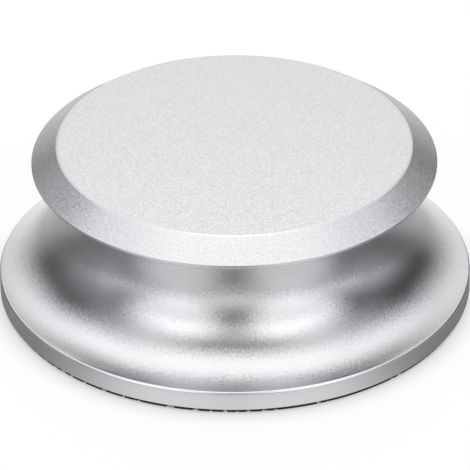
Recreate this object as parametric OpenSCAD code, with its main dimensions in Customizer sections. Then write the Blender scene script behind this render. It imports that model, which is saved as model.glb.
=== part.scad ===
// Record weight: one turned aluminium body on a thin felt pad.
// Z runs up the spindle axis, and Z = 0 is the underside of the pad.

/* [Base] */
// Diameter across the base flange
base_d = 80; // [76:0.5:90]
// Height of the straight band round the base, above the metal's underside
band_h = 3.5; // [2.5:0.1:5]
// Radius that breaks the band's top edge
band_break = 0.45; // [0.2:0.05:0.8]
// Bevel that breaks the band's bottom edge
foot_break = 0.2; // [0.1:0.05:0.5]

/* [Waist] */
// Diameter of the waist, just under the knob
waist_d = 54.8; // [48:0.1:60]
// Height above the metal's underside at which the base's long hollow curve turns upright
waist_h = 19.1; // [16:0.1:20.5]

/* [Knob] */
// Diameter across the knob's rim
rim_d = 68.2; // [65:0.1:72]
// Height of the rim's lower edge above the metal's underside
rim_low_h = 23.6; // [22:0.1:25]
// Slope of the knob's underside, rising from the waist to the rim
under_slope = 15; // [0:1:25]
// Radius between the waist and the knob's underside, cut down where there is less height
under_round = 3.5; // [1:0.1:5]
// Height of the narrow upright land round the rim
land_h = 0.62; // [0.5:0.02:1.5]
// Radius that breaks the rim's lower edge
rim_break = 0.35; // [0.1:0.05:0.45]
// Diameter of the flat top face
face_d = 59.7; // [50:0.1:63]
// Height of the metal body, from its underside to the top face
body_h = 27.36; // [26.5:0.02:32]
// Radius that breaks the edge of the top face
face_break = 0.6; // [0.1:0.05:1]

/* [Spindle bore] */
// Diameter of the blind bore that drops over the turntable's spindle
bore_d = 7.4; // [7.25:0.05:8]
// Depth of the bore's straight wall above its lead-in bevel
bore_depth = 17.4; // [12:0.1:20]
// Bevel at the bore's mouth, equal in height and width
bore_lead = 0.6; // [0.3:0.1:1.5]
// Included angle of the drill point that ends the bore
drill_angle = 118; // [90:1:140]

/* [Pad] */
// Thickness of the felt pad
pad_t = 0.64; // [0.5:0.02:2]
// How far the pad's edge stands in from the edge of the base
pad_inset = 0.65; // [0.3:0.05:3]
// Width of bare metal left between the bore's mouth and the pad
pad_hole_margin = 1.2; // [0.5:0.1:5]

/* [Hidden] */
$fn = 180;
break_steps = 6;
base_r = base_d / 2;
rim_r = rim_d / 2;
face_r = face_d / 2;
waist_r = waist_d / 2;
bore_r = bore_d / 2;
lead_r = bore_r + bore_lead;
pad_hole_r = lead_r + pad_hole_margin;
under_end_r = rim_r - rim_break;
land_top_h = rim_low_h + land_h;
bevel_angle = atan2(body_h - land_top_h, rim_r - face_r);
cut_reach = 1;

// Points of an arc round a centre, from one angle to another
function arc(centre, r, from, to, steps) =
    [for (i = [0:steps]) let (a = from + (to - from) * i / steps) centre + r * [cos(a), sin(a)]];

// Radius of the arc that leaves the waist upright and ends w further out and h away.
// Where there is more width than height it is a quarter round, and the rest stays flat.
function cove_radius(w, h) = w > h ? h : (w * w + h * h) / (2 * w);

// Half of the body's section before its waist is cut
module blank_outline() {
    face_arc_x = face_r - face_break * tan(bevel_angle / 2);
    polygon(concat(
        [[0, 0], [base_r - foot_break, 0], [base_r, foot_break]],
        arc([base_r - band_break, band_h - band_break], band_break, 0, 90, break_steps),
        arc([under_end_r, rim_low_h + rim_break], rim_break, -90, 0, break_steps),
        [[rim_r, land_top_h]],
        arc([face_arc_x, body_h - face_break], face_break, 90 - bevel_angle, 90, break_steps),
        [[0, body_h]]
    ));
}

// Space outside the long curve that sweeps from the top of the base up to the waist
module cove_outline() {
    w = base_r - band_break - waist_r;
    h = waist_h - band_h;
    r = cove_radius(w, h);
    intersection() {
        union() {
            translate([waist_r + r, waist_h]) circle(r);
            translate([waist_r + r, band_h]) square([base_d, h]);
        }
        translate([waist_r, band_h]) square([base_d, h]);
    }
}

// Height of the knob's underside at a distance from the axis
function under_h(x) = rim_low_h - (under_end_r - x) * tan(under_slope);

// Metal that rounds the corner between the waist and the knob's underside
module under_fillet() {
    room = under_h(waist_r) - waist_h;
    r = min(under_round, room / (1 / cos(under_slope) - tan(under_slope)));
    x = waist_r + r;
    centre = [x, under_h(x) - r / cos(under_slope)];
    if (r > 0) difference() {
        polygon([
            [waist_r, centre[1]], centre,
            centre + r * [-sin(under_slope), cos(under_slope)],
            [waist_r, under_h(waist_r)]
        ]);
        translate(centre) circle(r);
    }
}

// Everything that is cut away between the base and the knob
module groove_outline() {
    difference() {
        intersection() {
            union() {
                cove_outline();
                translate([waist_r, waist_h]) square([base_d, body_h]);
            }
            polygon([[0, 0], [base_d, 0], [base_d, under_h(base_d)], [0, under_h(0)]]);
        }
        under_fillet();
    }
}

module bore() {
    translate([0, 0, -cut_reach]) cylinder(r = bore_r, h = bore_depth + bore_lead + cut_reach);
    cylinder(r1 = lead_r, r2 = bore_r, h = bore_lead);
    translate([0, 0, bore_lead + bore_depth])
        cylinder(r1 = bore_r, r2 = 0, h = bore_r / tan(drill_angle / 2));
}

module weight_body() {
    color([0.84, 0.85, 0.87])
    translate([0, 0, pad_t])
    difference() {
        rotate_extrude() difference() {
            blank_outline();
            groove_outline();
        }
        bore();
    }
}

module felt_pad() {
    color([0.07, 0.07, 0.07])
    difference() {
        cylinder(r = base_r - pad_inset, h = pad_t);
        translate([0, 0, -cut_reach]) cylinder(r = pad_hole_r, h = pad_t + 2 * cut_reach);
    }
}

weight_body();
felt_pad();
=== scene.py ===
import bpy
import math
from mathutils import Matrix, Vector


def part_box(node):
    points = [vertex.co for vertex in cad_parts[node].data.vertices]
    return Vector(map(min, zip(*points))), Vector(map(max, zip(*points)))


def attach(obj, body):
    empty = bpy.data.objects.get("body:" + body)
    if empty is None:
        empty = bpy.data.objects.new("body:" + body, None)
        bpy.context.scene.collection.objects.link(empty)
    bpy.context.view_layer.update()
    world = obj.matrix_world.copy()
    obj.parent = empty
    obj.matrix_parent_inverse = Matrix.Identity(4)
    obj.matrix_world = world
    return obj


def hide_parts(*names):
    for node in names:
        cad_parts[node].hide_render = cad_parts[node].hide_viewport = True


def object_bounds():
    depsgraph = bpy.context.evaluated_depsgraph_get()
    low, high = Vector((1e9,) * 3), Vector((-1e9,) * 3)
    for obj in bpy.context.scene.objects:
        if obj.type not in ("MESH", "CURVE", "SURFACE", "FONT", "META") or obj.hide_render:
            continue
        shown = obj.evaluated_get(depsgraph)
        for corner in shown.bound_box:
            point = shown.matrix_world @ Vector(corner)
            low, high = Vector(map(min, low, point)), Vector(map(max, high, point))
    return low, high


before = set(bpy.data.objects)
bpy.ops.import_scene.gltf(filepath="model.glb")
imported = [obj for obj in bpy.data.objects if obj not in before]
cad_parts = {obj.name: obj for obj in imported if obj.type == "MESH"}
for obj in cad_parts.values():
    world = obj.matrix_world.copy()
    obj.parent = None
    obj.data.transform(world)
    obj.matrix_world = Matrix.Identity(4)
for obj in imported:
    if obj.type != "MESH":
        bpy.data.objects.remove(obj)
cadLow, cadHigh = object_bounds()
bpy.context.scene.view_settings.view_transform = "Standard"
millimetre = 0.001

# Long lens, looking along +Y and down at the weight
cameraView = {
    "elevation": 31.624,    # degrees above the horizon
    "distance": 805.3,      # mm from the aim point
    "aimHeight": 9.68,      # mm up the spindle axis
    "lens": 363.44,         # mm
    "sensor": 36,           # mm
    "clip": (0.01, 20),     # m
    "roll": -0.283,         # degrees about the line of sight
    "shiftX": 0.00061,
    "shiftY": 0.00106,
}


def placeCamera(view):
    camera = bpy.data.cameras.new("photoCamera")
    camera.sensor_width = view["sensor"]
    camera.lens = view["lens"]
    camera.shift_x = view["shiftX"]
    camera.shift_y = view["shiftY"]
    camera.clip_start, camera.clip_end = view["clip"]
    holder = bpy.data.objects.new("photoCamera", camera)
    bpy.context.scene.collection.objects.link(holder)
    tilt = math.radians(view["elevation"])
    away = Vector((0, -math.cos(tilt), math.sin(tilt)))
    aim = Vector((0, 0, view["aimHeight"] * millimetre))
    place = Matrix.Translation(aim + away * view["distance"] * millimetre)
    turn = away.to_track_quat("Z", "Y").to_matrix().to_4x4()
    roll = Matrix.Rotation(math.radians(view["roll"]), 4, "Z")
    holder.matrix_world = place @ turn @ roll
    bpy.context.scene.camera = holder


placeCamera(cameraView)
print("camera placed")


def addNode(tree, kind, inputs=None, **settings):
    node = tree.nodes.new(kind)
    for name, value in settings.items():
        setattr(node, name, value)
    for name, value in (inputs or {}).items():
        if isinstance(value, bpy.types.NodeSocket):
            tree.links.new(value, node.inputs[name])
        else:
            node.inputs[name].default_value = value
    return node


def calc(tree, operation, *values):    # one Math node, linked or set in order
    return addNode(tree, "ShaderNodeMath", dict(enumerate(values)), operation=operation).outputs[0]


def vectorCalc(tree, operation, *values):    # the outputs of one Vector Math node
    kind = "ShaderNodeVectorMath"
    return addNode(tree, kind, dict(enumerate(values)), operation=operation).outputs


def scaled(tree, vector, share):
    node = addNode(tree, "ShaderNodeVectorMath", {0: vector, "Scale": share}, operation="SCALE")
    return node.outputs[0]


def diagonal(tree, first, second):
    squares = [calc(tree, "MULTIPLY", part, part) for part in (first, second)]
    return calc(tree, "SQRT", calc(tree, "ADD", *squares))


def clearTree(owner):
    owner.use_nodes = True
    owner.node_tree.nodes.clear()
    return owner.node_tree


# Soft studio lights round the weight: azimuth runs from right (0) over back (90) to front (270)
roomLevel = 0.052
middleTint = (1.0, 1.0, 1.0, 1)
sideTint = (0.985, 0.985, 1.04, 1)
studioLights = {
    "overhead": {"azimuth": 273, "elevation": 88, "wide": 42, "high": 22, "soft": 0.54, "level": 1.20},
    "highLeft": {"azimuth": 149, "elevation": 49, "wide": 12, "high": 12, "soft": 0.95, "level": 0.90},
    "highRight": {"azimuth": 32, "elevation": 47, "wide": 11, "high": 12, "soft": 0.95, "level": 0.75},
    "frontLeft": {"azimuth": 230, "elevation": 29, "wide": 26, "high": 22, "soft": 0.41, "level": 0.91},
    "frontRight": {"azimuth": 310, "elevation": 29, "wide": 27, "high": 24, "soft": 0.39, "level": 0.93},
    "lowFront": {"azimuth": 266, "elevation": -10, "wide": 65, "high": 24, "soft": 0.34, "level": 0.54},
    "backWall": {"azimuth": 91, "elevation": 10, "wide": 21.8, "high": 19, "soft": 0.95, "level": 1.17},
    "backHigh": {"azimuth": 91, "elevation": 54, "wide": 13, "high": 21, "soft": 0.15, "level": 1.23},
    "backLeft": {"azimuth": 126, "elevation": 34, "wide": 13, "high": 13, "soft": 0.95, "level": 0.86},
    "backRight": {"azimuth": 57, "elevation": 34, "wide": 15, "high": 14, "soft": 0.88, "level": 0.76},
    "frontTop": {"azimuth": 270, "elevation": 45, "wide": 45, "high": 10, "soft": 0.15, "level": 0.38},
    "lowLeft": {"azimuth": 178, "elevation": -10, "wide": 27, "high": 26, "soft": 0.84, "level": 0.36},
    "lowRight": {"azimuth": 358, "elevation": -10, "wide": 35, "high": 23, "soft": 0.40, "level": 0.38},
    # under the floor, where only the underside sees it
    "underFill": {"azimuth": 270, "elevation": -70, "wide": 50, "high": 50, "soft": 0.50, "level": 0.90},
}


def softLight(tree, direction, light):    # level of one light, an ellipse with a soft edge
    azimuth, elevation = math.radians(light["azimuth"]), math.radians(light["elevation"])
    across = Vector((-math.sin(azimuth), math.cos(azimuth), 0))
    middle = Vector((math.cos(azimuth), math.sin(azimuth), 0)) * math.cos(elevation)
    middle.z = math.sin(elevation)
    parts = []
    for axis, half in ((across, light["wide"]), (middle.cross(across), light["high"])):
        offset = vectorCalc(tree, "DOT_PRODUCT", direction, tuple(axis))["Value"]
        parts.append(calc(tree, "DIVIDE", offset, math.sin(math.radians(half))))
    ahead = vectorCalc(tree, "DOT_PRODUCT", direction, tuple(middle))["Value"]
    shade = addNode(
        tree, "ShaderNodeMapRange",
        {
            "Value": diagonal(tree, *parts),
            "From Min": 1 - light["soft"],
            "From Max": 1 + light["soft"],
            "To Min": light["level"],
            "To Max": 0.0,
        },
        interpolation_type="SMOOTHSTEP",
    )
    return calc(tree, "MULTIPLY", shade.outputs[0], calc(tree, "GREATER_THAN", ahead, 0.0))


def hangLights(level, lights):
    world = bpy.data.worlds.new("softStudio")
    bpy.context.scene.world = world
    tree = clearTree(world)
    direction = addNode(tree, "ShaderNodeTexCoord").outputs["Generated"]
    for light in lights.values():
        level = calc(tree, "ADD", softLight(tree, direction, light), level)
    camera = addNode(tree, "ShaderNodeLightPath").outputs["Is Camera Ray"]
    level = calc(tree, "MAXIMUM", camera, level)
    across = addNode(tree, "ShaderNodeSeparateXYZ", {0: direction}).outputs["X"]
    sideways = calc(tree, "MULTIPLY", across, across)
    tint = addNode(tree, "ShaderNodeMix", {"Factor": sideways}, data_type="RGBA")
    tint.inputs["A"].default_value = middleTint
    tint.inputs["B"].default_value = sideTint
    background = addNode(tree, "ShaderNodeBackground", {"Color": tint.outputs["Result"], "Strength": level})
    output = addNode(tree, "ShaderNodeOutputWorld")
    tree.links.new(background.outputs[0], output.inputs["Surface"])


hangLights(roomLevel, studioLights)

floorPaper = {
    "radius": 2500,         # mm
    "sides": 96,
    "drop": 0.02,           # mm below the felt, so that the two faces don't coincide
    "colour": (0.20, 0.20, 0.20, 1),
    "fill": 0.84,           # light of its own that brings the paper up to white
    "shadeReach": 4,        # mm round the weight in which that light falls off
    "shadePower": 0.4,
    "feltLight": 0.35,      # light that only the felt takes up
    "mirroredShare": 0.05,  # share of the white that the metal mirrors
    "sheen": 0.76,          # how far the floor in the metal mirrors the lights in turn
    "sheenNear": 0.12,      # the same close to the weight
    "sheenRadius": 40,      # mm
    "sheenWidth": 14,       # mm
    "sheenRoughness": 0.22,
    "paintedPool": 0.62,           # painted pool of light: a ring of paper close to the front glows brighter, seen only in the metal
    "paintedPoolRadius": 43.3,     # mm
    "paintedPoolWidth": 4.6,       # mm
    "paintedPoolTurn": -0.01,      # sine of the angle from the front
    "paintedPoolSpread": 0.70,     # the same, to each side
}


# Near 1 round the middle of every value, and falling to 0 beyond its half width
def flatBump(tree, parts, steepness=4.0):
    powers = []
    for value, middle, half in parts:
        part = calc(tree, "DIVIDE", calc(tree, "SUBTRACT", value, middle), half)
        powers.append(calc(tree, "POWER", calc(tree, "ABSOLUTE", part), steepness))
    while len(powers) > 1:
        powers.append(calc(tree, "ADD", powers.pop(), powers.pop()))
    return calc(tree, "EXPONENT", calc(tree, "MULTIPLY", powers[0], -1.0))


def makeFloor(paper):
    material = bpy.data.materials.new("floorPaper")
    tree = clearTree(material)
    diffuse = addNode(tree, "ShaderNodeBsdfDiffuse", {"Color": paper["colour"]})
    rays = addNode(tree, "ShaderNodeLightPath").outputs
    shade = addNode(tree, "ShaderNodeAmbientOcclusion", {"Distance": paper["shadeReach"] * millimetre})
    clear = calc(tree, "POWER", shade.outputs["AO"], paper["shadePower"])
    place = addNode(tree, "ShaderNodeTexCoord").outputs["Object"]
    place = addNode(tree, "ShaderNodeSeparateXYZ", {0: place}).outputs
    away = diagonal(tree, place["X"], place["Y"])
    turn = calc(tree, "DIVIDE", place["X"], away)
    # painted reflection: a ring of paper in front glows for mirror rays only, a pool of light with no lamp
    paintedPool = flatBump(tree, [
        (away, paper["paintedPoolRadius"] * millimetre, paper["paintedPoolWidth"] * millimetre),
        (turn, paper["paintedPoolTurn"], paper["paintedPoolSpread"]),
    ])
    front = calc(tree, "LESS_THAN", place["Y"], 0.0)
    paintedPool = calc(tree, "MULTIPLY", paintedPool, calc(tree, "MULTIPLY", front, paper["paintedPool"]))
    seen = calc(tree, "MAXIMUM", rays["Is Camera Ray"], rays["Is Transmission Ray"])
    seen = calc(tree, "MULTIPLY_ADD", rays["Is Glossy Ray"], paper["mirroredShare"], seen)
    white = calc(tree, "MULTIPLY", calc(tree, "MULTIPLY", seen, clear), paper["fill"])
    strength = calc(tree, "MULTIPLY_ADD", paintedPool, rays["Is Glossy Ray"], white)
    strength = calc(tree, "MULTIPLY_ADD", rays["Is Diffuse Ray"], paper["feltLight"], strength)
    light = addNode(tree, "ShaderNodeEmission", {"Strength": strength})
    plain = addNode(tree, "ShaderNodeAddShader", {0: diffuse.outputs[0], 1: light.outputs[0]})
    sheen = addNode(tree, "ShaderNodeBsdfGlossy", {"Roughness": paper["sheenRoughness"]})
    polish = flatBump(tree, [(away, paper["sheenRadius"] * millimetre, paper["sheenWidth"] * millimetre)])
    polish = calc(tree, "MULTIPLY_ADD", polish, paper["sheenNear"] - paper["sheen"], paper["sheen"])
    share = calc(tree, "MULTIPLY", rays["Is Glossy Ray"], polish)
    whole = addNode(tree, "ShaderNodeMixShader", {0: share, 1: plain.outputs[0], 2: sheen.outputs[0]})
    # from below, the floor lets the underside be seen
    below = addNode(tree, "ShaderNodeNewGeometry").outputs["Backfacing"]
    through = addNode(tree, "ShaderNodeBsdfTransparent")
    sided = addNode(tree, "ShaderNodeMixShader", {0: below, 1: whole.outputs[0], 2: through.outputs[0]})
    output = addNode(tree, "ShaderNodeOutputMaterial")
    tree.links.new(sided.outputs[0], output.inputs["Surface"])
    mesh = bpy.data.meshes.new("floor")
    radius, down = paper["radius"] * millimetre, paper["drop"] * millimetre
    turns = [2 * math.pi * i / paper["sides"] for i in range(paper["sides"])]
    ring = [(radius * math.cos(turn), radius * math.sin(turn), -down) for turn in turns]
    mesh.from_pydata(ring, [], [list(range(len(ring)))])
    mesh.materials.append(material)
    floor = bpy.data.objects.new("floor", mesh)
    bpy.context.scene.collection.objects.link(floor)


makeFloor(floorPaper)
print("studio ready")


# Bead-blasted, clear-anodised aluminium: tiny dents, each tilting the light its own way
blastedMetal = {
    "colour": (0.812, 0.812, 0.828),
    "roughness": 0.21,
    "dentSize": 0.16,       # mm
    "dentTilt": 0.055,
    "dentShade": 0.06,      # spread of brightness from dent to dent
    "rubbedEdges": ((29.8, 27.9), (39.85, 3.9), (33.95, 24.4)),    # mm out and up
    "rubbedReach": (0.3, 0.7),    # mm from the edge over which the dents come back
    "highlightPaintEdges": ((39.9, 3.9), (34.0, 24.35)),
    "highlightPaintReach": (0.18, 0.36),   # mm from the edge over which the painted highlight ends
    "edgeHighlightPaint": 0.18,      # painted highlight: how much brighter the colour is made along these edges
    "grainSize": 0.45,      # mm
    "grainDepth": 0.006,    # mm
    "grainDetail": 2.0,
}


def edgeGap(tree, away, height, edges):    # distance to the nearest of some rings round the axis
    nearest = None
    for out, up in edges:
        sideways = calc(tree, "SUBTRACT", away, out * millimetre)
        upwards = calc(tree, "SUBTRACT", height, up * millimetre)
        gap = diagonal(tree, sideways, upwards)
        nearest = gap if nearest is None else calc(tree, "MINIMUM", nearest, gap)
    return nearest


def makeBlastedMetal(metal):
    material = bpy.data.materials.new("blastedAluminium")
    tree = clearTree(material)
    place = addNode(tree, "ShaderNodeTexCoord").outputs["Object"]
    noise = addNode(tree, "ShaderNodeTexNoise", {
        "Vector": place,
        "Scale": 1 / (metal["grainSize"] * millimetre),
        "Detail": metal["grainDetail"],
    })
    grain = addNode(tree, "ShaderNodeBump", {
        "Height": noise.outputs["Fac"],
        "Distance": metal["grainDepth"] * millimetre,
        "Strength": 1.0,
    })
    cells = addNode(tree, "ShaderNodeTexVoronoi", {
        "Vector": place,
        "Scale": 1 / (metal["dentSize"] * millimetre),
    })
    spot = addNode(tree, "ShaderNodeSeparateXYZ", {0: place}).outputs
    away = diagonal(tree, spot["X"], spot["Y"])
    low, high = [reach * millimetre for reach in metal["rubbedReach"]]
    rough = addNode(tree, "ShaderNodeMapRange", {
        "Value": edgeGap(tree, away, spot["Z"], metal["rubbedEdges"]),
        "From Min": low,
        "From Max": high,
    }).outputs[0]
    # painted highlight: the colour is made brighter close to these edges
    low, high = [reach * millimetre for reach in metal["highlightPaintReach"]]
    highlightPaint = addNode(tree, "ShaderNodeMapRange", {
        "Value": edgeGap(tree, away, spot["Z"], metal["highlightPaintEdges"]),
        "From Min": low,
        "From Max": high,
        "To Min": 1 + metal["edgeHighlightPaint"],
        "To Max": 1.0,
    }).outputs[0]
    tilt = calc(tree, "MULTIPLY", rough, metal["dentTilt"])
    # a cell's random colour, from 0 to 1, leans its dent either way
    lean = vectorCalc(tree, "SUBTRACT", cells.outputs["Color"], (0.5, 0.5, 0.5))[0]
    normal = vectorCalc(tree, "ADD", grain.outputs[0], scaled(tree, lean, tilt))[0]
    random = addNode(tree, "ShaderNodeSeparateColor", {0: cells.outputs["Color"]}).outputs["Blue"]
    spread = calc(tree, "MULTIPLY_ADD", random, metal["dentShade"], 1 - metal["dentShade"] / 2)
    spread = calc(tree, "MULTIPLY", spread, highlightPaint)
    shader = addNode(tree, "ShaderNodeBsdfPrincipled", {
        "Base Color": scaled(tree, metal["colour"], spread),
        "Metallic": 1.0,
        "Roughness": metal["roughness"],
        "Normal": vectorCalc(tree, "NORMALIZE", normal)[0],
    })
    output = addNode(tree, "ShaderNodeOutputMaterial")
    tree.links.new(shader.outputs[0], output.inputs["Surface"])
    return material


blackFelt = {
    "colour": (0.006, 0.006, 0.0065, 1),
    "fibreColour": (0.035, 0.035, 0.036, 1),
    "fibreSize": 0.18,      # mm
    "fibreDepth": 0.05,     # mm
    "fibreDetail": 4.0,
    "fibreTangle": 1.5,
    "roughness": 0.95,
}


def makeBlackFelt(felt):
    material = bpy.data.materials.new("blackFelt")
    tree = clearTree(material)
    place = addNode(tree, "ShaderNodeTexCoord").outputs["Object"]
    fibres = addNode(tree, "ShaderNodeTexNoise", {
        "Vector": place,
        "Scale": 1 / (felt["fibreSize"] * millimetre),
        "Detail": felt["fibreDetail"],
        "Distortion": felt["fibreTangle"],
    })
    tint = addNode(tree, "ShaderNodeMix", {"Factor": fibres.outputs["Fac"]}, data_type="RGBA")
    tint.inputs["A"].default_value = felt["colour"]
    tint.inputs["B"].default_value = felt["fibreColour"]
    dents = addNode(tree, "ShaderNodeBump", {
        "Height": fibres.outputs["Fac"],
        "Distance": felt["fibreDepth"] * millimetre,
        "Strength": 1.0,
    })
    shader = addNode(tree, "ShaderNodeBsdfPrincipled", {
        "Base Color": tint.outputs["Result"],
        "Roughness": felt["roughness"],
        "Normal": dents.outputs[0],
    })
    output = addNode(tree, "ShaderNodeOutputMaterial")
    tree.links.new(shader.outputs[0], output.inputs["Surface"])
    return material


aluminium = makeBlastedMetal(blastedMetal)
felt = makeBlackFelt(blackFelt)
print("finishes ready")


def socketKey(tree, name):
    for item in tree.interface.items_tree:
        if item.item_type == "SOCKET" and item.in_out == "INPUT" and item.name == name:
            return item.identifier


mergeGap = 1e-7    # m, under which points become one


def startTree(name, sockets, result):
    tree = bpy.data.node_groups.new(name, "GeometryNodeTree")
    for label, kind in sockets.items():
        tree.interface.new_socket(label, in_out="INPUT", socket_type="NodeSocket" + kind)
    tree.interface.new_socket(result, in_out="OUTPUT", socket_type="NodeSocketGeometry")
    return tree, addNode(tree, "NodeGroupInput").outputs


def endTree(tree, given, shape):
    real = addNode(tree, "GeometryNodeRealizeInstances", {"Geometry": shape.outputs[0]})
    finished = addNode(tree, "GeometryNodeSetMaterial", {
        "Geometry": real.outputs[0],
        "Material": given["Finish"],
    })
    output = addNode(tree, "NodeGroupOutput")
    tree.links.new(finished.outputs[0], output.inputs[0])
    return tree


latheSockets = {
    "Section": "Geometry",
    "Turn Steps": "Int",
    "Sharp Angle": "Float",
    "Merge Gap": "Float",
    "Finish": "Material",
}


# Turns a section, a line of points in X and Z, round the Z axis
def makeLatheTree():
    tree, given = startTree("latheTurn", latheSockets, "Turned")
    size = addNode(
        tree, "GeometryNodeAttributeDomainSize",
        {"Geometry": given["Section"]}, component="MESH",
    )
    columns = calc(tree, "ADD", given["Turn Steps"], 1.0)
    grid = addNode(tree, "GeometryNodeMeshGrid", {
        "Size X": 1.0,
        "Size Y": 1.0,
        "Vertices X": columns,
        "Vertices Y": size.outputs["Point Count"],
    })
    spot = addNode(tree, "GeometryNodeInputPosition").outputs[0]
    across = addNode(tree, "ShaderNodeSeparateXYZ", {0: spot}).outputs
    angle = calc(tree, "MULTIPLY", calc(tree, "ADD", across["X"], 0.5), 2 * math.pi)
    lastRow = calc(tree, "SUBTRACT", size.outputs["Point Count"], 1.0)
    row = calc(tree, "ROUND", calc(tree, "MULTIPLY", calc(tree, "ADD", across["Y"], 0.5), lastRow))
    sample = addNode(
        tree, "GeometryNodeSampleIndex",
        {"Geometry": given["Section"], "Index": row}, data_type="FLOAT_VECTOR", domain="POINT",
    )
    tree.links.new(spot, sample.inputs["Value"])
    point = addNode(tree, "ShaderNodeSeparateXYZ", {0: sample.outputs[0]}).outputs
    turned = addNode(tree, "ShaderNodeCombineXYZ", {
        "X": calc(tree, "MULTIPLY", point["X"], calc(tree, "COSINE", angle)),
        "Y": calc(tree, "MULTIPLY", point["X"], calc(tree, "SINE", angle)),
        "Z": point["Z"],
    })
    placed = addNode(tree, "GeometryNodeSetPosition", {
        "Geometry": grid.outputs["Mesh"],
        "Position": turned.outputs[0],
    })
    merged = addNode(tree, "GeometryNodeMergeByDistance", {
        "Geometry": placed.outputs[0],
        "Distance": given["Merge Gap"],
    })
    outward = addNode(tree, "GeometryNodeFlipFaces", {"Mesh": merged.outputs[0]})
    fold = addNode(tree, "GeometryNodeInputMeshEdgeAngle").outputs["Unsigned Angle"]
    smooth = addNode(
        tree, "GeometryNodeSetShadeSmooth",
        {"Geometry": outward.outputs[0], "Shade Smooth": True}, domain="FACE",
    )
    sharp = calc(tree, "GREATER_THAN", fold, given["Sharp Angle"])
    creased = addNode(
        tree, "GeometryNodeSetShadeSmooth",
        {"Geometry": smooth.outputs[0], "Selection": sharp, "Shade Smooth": False}, domain="EDGE",
    )
    return endTree(tree, given, creased)


latheTree = makeLatheTree()


def growMesh(name, start, tree, inputs):    # runs a tree on a start mesh and keeps the plain result
    piece = bpy.data.objects.new(name, start)
    bpy.context.scene.collection.objects.link(piece)
    modifier = piece.modifiers.new(tree.name, "NODES")
    modifier.node_group = tree
    for label, value in inputs.items():
        modifier[socketKey(tree, label)] = value
    graph = bpy.context.evaluated_depsgraph_get()
    plain = bpy.data.meshes.new_from_object(piece.evaluated_get(graph))
    plain.name = name
    piece.modifiers.remove(modifier)
    piece.data = plain
    return piece


def sectionMesh(name, rows):
    mesh = bpy.data.meshes.new(name)
    points = [(r * millimetre, 0, z * millimetre) for r, z in rows]
    mesh.from_pydata(points, [(i, i + 1) for i in range(len(points) - 1)], [])
    return mesh


def straight(rows, r, z, guard=0.04):    # guard points keep the shading flat up to a rounded corner
    r0, z0 = rows[-1]
    length = math.hypot(r - r0, z - z0)
    for share in (guard / length, 1 - guard / length):
        if length > 4 * guard:
            rows.append((r0 + (r - r0) * share, z0 + (z - z0) * share))
    rows.append((r, z))


def arc(rows, r, z, radius, start, end, steps):    # angles in degrees from +R towards +Z
    for i in range(1, steps + 1):
        angle = math.radians(start + (end - start) * i / steps)
        rows.append((r + radius * math.cos(angle), z + radius * math.sin(angle)))


bodySection = {
    "bandHeight": 3.5,
    "bandBreak": 0.45,
    "footBreak": 0.2,
    "waistRadius": 27.4,
    "waistHeight": 19.1,
    "rimRadius": 34.1,
    "rimLowHeight": 23.6,
    "landHeight": 0.62,
    "rimBreak": 0.35,
    "underRound": 3.5,
    "underSlope": 15,       # degrees, rising outwards
    "faceRadius": 29.85,
    "faceBreak": 0.6,
    "boreRadius": 3.7,
    "boreDepth": 17.4,
    "boreLead": 0.6,
    "drillAngle": 118,
    "edgeSteps": 6,
    "coveSteps": 60,
    "filletSteps": 20,
    "turnSteps": 360,
    "sharpAngle": 20,       # degrees
}


def bodyRows(size, baseRadius, padTop, top):
    bore, lead = size["boreRadius"], size["boreLead"]
    wallTop = lead + size["boreDepth"]
    rows = [(0, wallTop + bore / math.tan(math.radians(size["drillAngle"] / 2)))]
    straight(rows, bore, wallTop)
    straight(rows, bore, lead)
    straight(rows, bore + lead, 0)
    straight(rows, baseRadius - size["footBreak"], 0)
    straight(rows, baseRadius, size["footBreak"])
    band, edge = size["bandHeight"], size["bandBreak"]
    steps = size["edgeSteps"]
    straight(rows, baseRadius, band - edge)
    arc(rows, baseRadius - edge, band - edge, edge, 0, 90, steps)
    waist, waistHeight = size["waistRadius"], size["waistHeight"]
    out, down = baseRadius - edge - waist, waistHeight - band
    cove = (out * out + down * down) / (2 * out)
    sweep = math.degrees(math.asin(down / cove))
    arc(rows, waist + cove, waistHeight, cove, 180 + sweep, 180, size["coveSteps"])
    slope = math.radians(size["underSlope"])
    fillet = size["underRound"]
    rimEnd = size["rimRadius"] - size["rimBreak"]
    # the fillet's centre lies one radius below the underside's line, which ends at the rim
    centreR = waist + fillet
    lineZ = size["rimLowHeight"] - (rimEnd - centreR) * math.tan(slope)
    centreZ = lineZ - fillet / math.cos(slope)
    straight(rows, waist, centreZ)
    arc(rows, centreR, centreZ, fillet, 180, 90 + size["underSlope"], size["filletSteps"])
    straight(rows, rimEnd, size["rimLowHeight"])
    arc(rows, rimEnd, size["rimLowHeight"] + size["rimBreak"], size["rimBreak"], -90, 0, steps)
    landTop = size["rimLowHeight"] + size["landHeight"]
    straight(rows, size["rimRadius"], landTop)
    bevel = math.atan2(top - landTop, size["rimRadius"] - size["faceRadius"])
    soft = size["faceBreak"]
    face, centre = size["faceRadius"] - soft * math.tan(bevel / 2), top - soft
    straight(rows, face + soft * math.sin(bevel), centre + soft * math.cos(bevel))
    arc(rows, face, centre, soft, 90 - math.degrees(bevel), 90, steps)
    straight(rows, 0, top)
    return [(r, z + padTop) for r, z in rows]


def makeBody(size):
    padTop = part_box("felt_pad")[1].z / millimetre
    rows = bodyRows(size, cadHigh.x / millimetre, padTop, cadHigh.z / millimetre - padTop)
    return growMesh("turnedBody", sectionMesh("bodySection", rows), latheTree, {
        "Turn Steps": size["turnSteps"],
        "Sharp Angle": math.radians(size["sharpAngle"]),
        "Merge Gap": mergeGap,
        "Finish": aluminium,
    })


body = makeBody(bodySection)
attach(body, "root")
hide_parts("weight_body")
print("body turned:", len(body.data.polygons), "faces")


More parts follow.
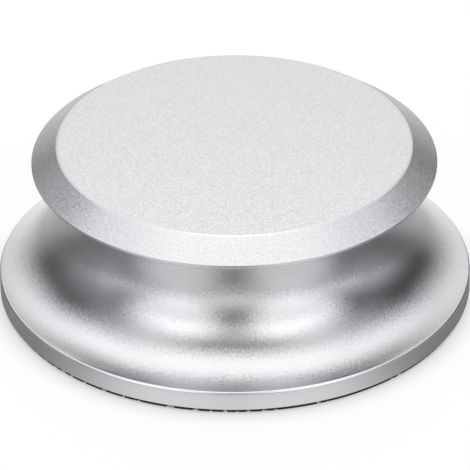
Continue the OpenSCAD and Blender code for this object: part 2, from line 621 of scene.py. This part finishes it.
padForm = {
    "holeMargin": 1.2,      # mm of bare metal round the bore's mouth
    "edgeRound": 0.12,
    "edgeBulge": 0.15,      # mm that the weight squeezes the felt out
    "edgeReach": 1,         # mm in from the edge, more than the nicks are deep
    "edgeSteps": 4,
    "turnSteps": 1440,
    "sharpAngle": 50,       # degrees
    "edgeWear": 0.8,        # mm, depth of the nicks in the cut edge
    "nickSize": 1.2,
    "nickStart": 0.56,      # part of the noise, from 0 to 1, at which a nick starts
    "nickEnd": 0.66,
    "fibreCount": 3000,     # loose fibres, which grow in the nicks
    "fibreLow": 0.2,        # mm up to the lowest fibre
    "fibreTopGap": 0.15,    # mm down to the highest
    "fibreLength": 0.6,
    "fibreRadius": 0.012,
    "fibreRoot": -0.08,     # share of the length that its ends stand out from the edge
    "fibreBend": 0.75,      # the same for the middle, which bends it
    "fibreSteps": 5,
    "fibreSides": 3,
    "fibreRoll": 0.5,       # radians either way
    "fibrePitch": 0.2,      # radians either way
    "fibreSmallest": 0.45,  # of the full size
    "seed": 7,
}


feltMeasures = (
    "Edge Radius", "Edge Wear", "Nick Size", "Nick Start", "Nick End",
    "Fibre Low", "Fibre High", "Fibre Length", "Fibre Radius",
)


# Turns the pad, wears nicks into its edge and grows loose fibres in them
def makeFeltTree(size):
    sockets = latheSockets | {"Fibre Count": "Int", "Seed": "Int"} | dict.fromkeys(feltMeasures, "Float")
    tree, given = startTree("feltEdge", sockets, "Pad")
    turned = addNode(tree, "GeometryNodeGroup", node_tree=latheTree)
    for name in latheSockets:
        tree.links.new(given[name], turned.inputs[name])

    spot = addNode(tree, "GeometryNodeInputPosition").outputs[0]
    flat = vectorCalc(tree, "MULTIPLY", spot, (1.0, 1.0, 0.0))[0]
    away = vectorCalc(tree, "LENGTH", flat)["Value"]
    outward = vectorCalc(tree, "NORMALIZE", flat)[0]
    unevenness = addNode(tree, "ShaderNodeTexNoise", {
        "Vector": flat,
        "Scale": calc(tree, "DIVIDE", 1.0, given["Nick Size"]),
        "Detail": 1.0,
    }).outputs["Fac"]
    nick = addNode(tree, "ShaderNodeMapRange", {
        "Value": unevenness,
        "From Min": given["Nick Start"],
        "From Max": given["Nick End"],
        "To Min": 0.0,
        "To Max": 1.0,
    }).outputs[0]
    wear = calc(tree, "MULTIPLY", calc(tree, "MULTIPLY", nick, given["Edge Wear"]), -1.0)
    inner = calc(tree, "SUBTRACT", given["Edge Radius"], given["Edge Wear"])
    ragged = addNode(tree, "GeometryNodeSetPosition", {
        "Geometry": turned.outputs[0],
        "Selection": calc(tree, "GREATER_THAN", away, inner),
        "Offset": scaled(tree, outward, wear),
    })

    def pick(seed, low, high):
        node = addNode(tree, "FunctionNodeRandomValue", data_type="FLOAT")
        sockets = [item for item in node.inputs if item.enabled]
        for item, value in zip(sockets, (low, high)):
            if isinstance(value, bpy.types.NodeSocket):
                tree.links.new(value, item)
            else:
                item.default_value = value
        tree.links.new(calc(tree, "ADD", given["Seed"], float(seed)), node.inputs["Seed"])
        return [item for item in node.outputs if item.enabled][0]

    angle = pick(1, 0.0, 2 * math.pi)
    root = addNode(tree, "ShaderNodeCombineXYZ", {
        "X": calc(tree, "MULTIPLY", calc(tree, "COSINE", angle), given["Edge Radius"]),
        "Y": calc(tree, "MULTIPLY", calc(tree, "SINE", angle), given["Edge Radius"]),
        "Z": pick(2, given["Fibre Low"], given["Fibre High"]),
    })
    roots = addNode(tree, "GeometryNodePoints", {
        "Count": given["Fibre Count"],
        "Position": root.outputs[0],
    })
    unworn = calc(tree, "LESS_THAN", unevenness, given["Nick Start"])
    kept = addNode(
        tree, "GeometryNodeDeleteGeometry",
        {"Geometry": roots.outputs[0], "Selection": unworn}, domain="POINT",
    )
    long = given["Fibre Length"]
    inset, half = calc(tree, "MULTIPLY", long, size["fibreRoot"]), calc(tree, "MULTIPLY", long, 0.5)
    start, end = [
        addNode(tree, "ShaderNodeCombineXYZ", {"X": inset, "Y": calc(tree, "MULTIPLY", half, side)})
        for side in (-1.0, 1.0)
    ]
    pulled = calc(tree, "MULTIPLY", long, size["fibreBend"])
    bend = addNode(tree, "GeometryNodeCurveQuadraticBezier", {
        "Resolution": size["fibreSteps"],
        "Start": start.outputs[0],
        "Middle": addNode(tree, "ShaderNodeCombineXYZ", {"X": pulled}).outputs[0],
        "End": end.outputs[0],
    })
    ring = addNode(tree, "GeometryNodeCurvePrimitiveCircle", {
        "Resolution": size["fibreSides"],
        "Radius": given["Fibre Radius"],
    })
    fibre = addNode(tree, "GeometryNodeCurveToMesh", {
        "Curve": bend.outputs[0],
        "Profile Curve": ring.outputs[0],
        "Fill Caps": True,
    })
    place = addNode(tree, "ShaderNodeSeparateXYZ", {0: spot}).outputs
    turn = addNode(tree, "ShaderNodeCombineXYZ", {
        "X": pick(3, -size["fibreRoll"], size["fibreRoll"]),
        "Y": pick(4, -size["fibrePitch"], size["fibrePitch"]),
        "Z": calc(tree, "ARCTAN2", place["Y"], place["X"]),
    })
    grown = addNode(tree, "GeometryNodeInstanceOnPoints", {
        "Points": kept.outputs[0],
        "Instance": fibre.outputs[0],
        "Rotation": turn.outputs[0],
        "Scale": pick(5, size["fibreSmallest"], 1.0),
    })
    whole = addNode(tree, "GeometryNodeJoinGeometry")
    tree.links.new(grown.outputs[0], whole.inputs[0])
    tree.links.new(ragged.outputs[0], whole.inputs[0])
    return endTree(tree, given, whole)


def makePad(size):
    low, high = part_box("felt_pad")
    radius, top = high.x / millimetre + size["edgeBulge"], high.z / millimetre
    hole = bodySection["boreRadius"] + bodySection["boreLead"] + size["holeMargin"]
    edge, steps, inner = size["edgeRound"], size["edgeSteps"], radius - size["edgeReach"]
    rows = [(hole, top), (hole, edge)]
    arc(rows, hole + edge, edge, edge, 180, 270, steps)
    straight(rows, inner, 0)
    straight(rows, radius - edge, 0)
    arc(rows, radius - edge, edge, edge, 270, 360, steps)
    straight(rows, radius, top)
    straight(rows, inner, top)
    straight(rows, hole, top)
    return growMesh("feltPad", sectionMesh("padSection", rows), makeFeltTree(size), {
        "Turn Steps": size["turnSteps"],
        "Sharp Angle": math.radians(size["sharpAngle"]),
        "Merge Gap": mergeGap,
        "Fibre Count": size["fibreCount"],
        "Seed": size["seed"],
        "Edge Radius": radius * millimetre,
        "Edge Wear": size["edgeWear"] * millimetre,
        "Nick Size": size["nickSize"] * millimetre,
        "Nick Start": size["nickStart"],
        "Nick End": size["nickEnd"],
        "Fibre Low": size["fibreLow"] * millimetre,
        "Fibre High": (top - size["fibreTopGap"]) * millimetre,
        "Fibre Length": size["fibreLength"] * millimetre,
        "Fibre Radius": size["fibreRadius"] * millimetre,
        "Finish": felt,
    })


pad = makePad(padForm)
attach(pad, "root")
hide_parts("felt_pad")
print("pad made:", len(pad.data.polygons), "faces")
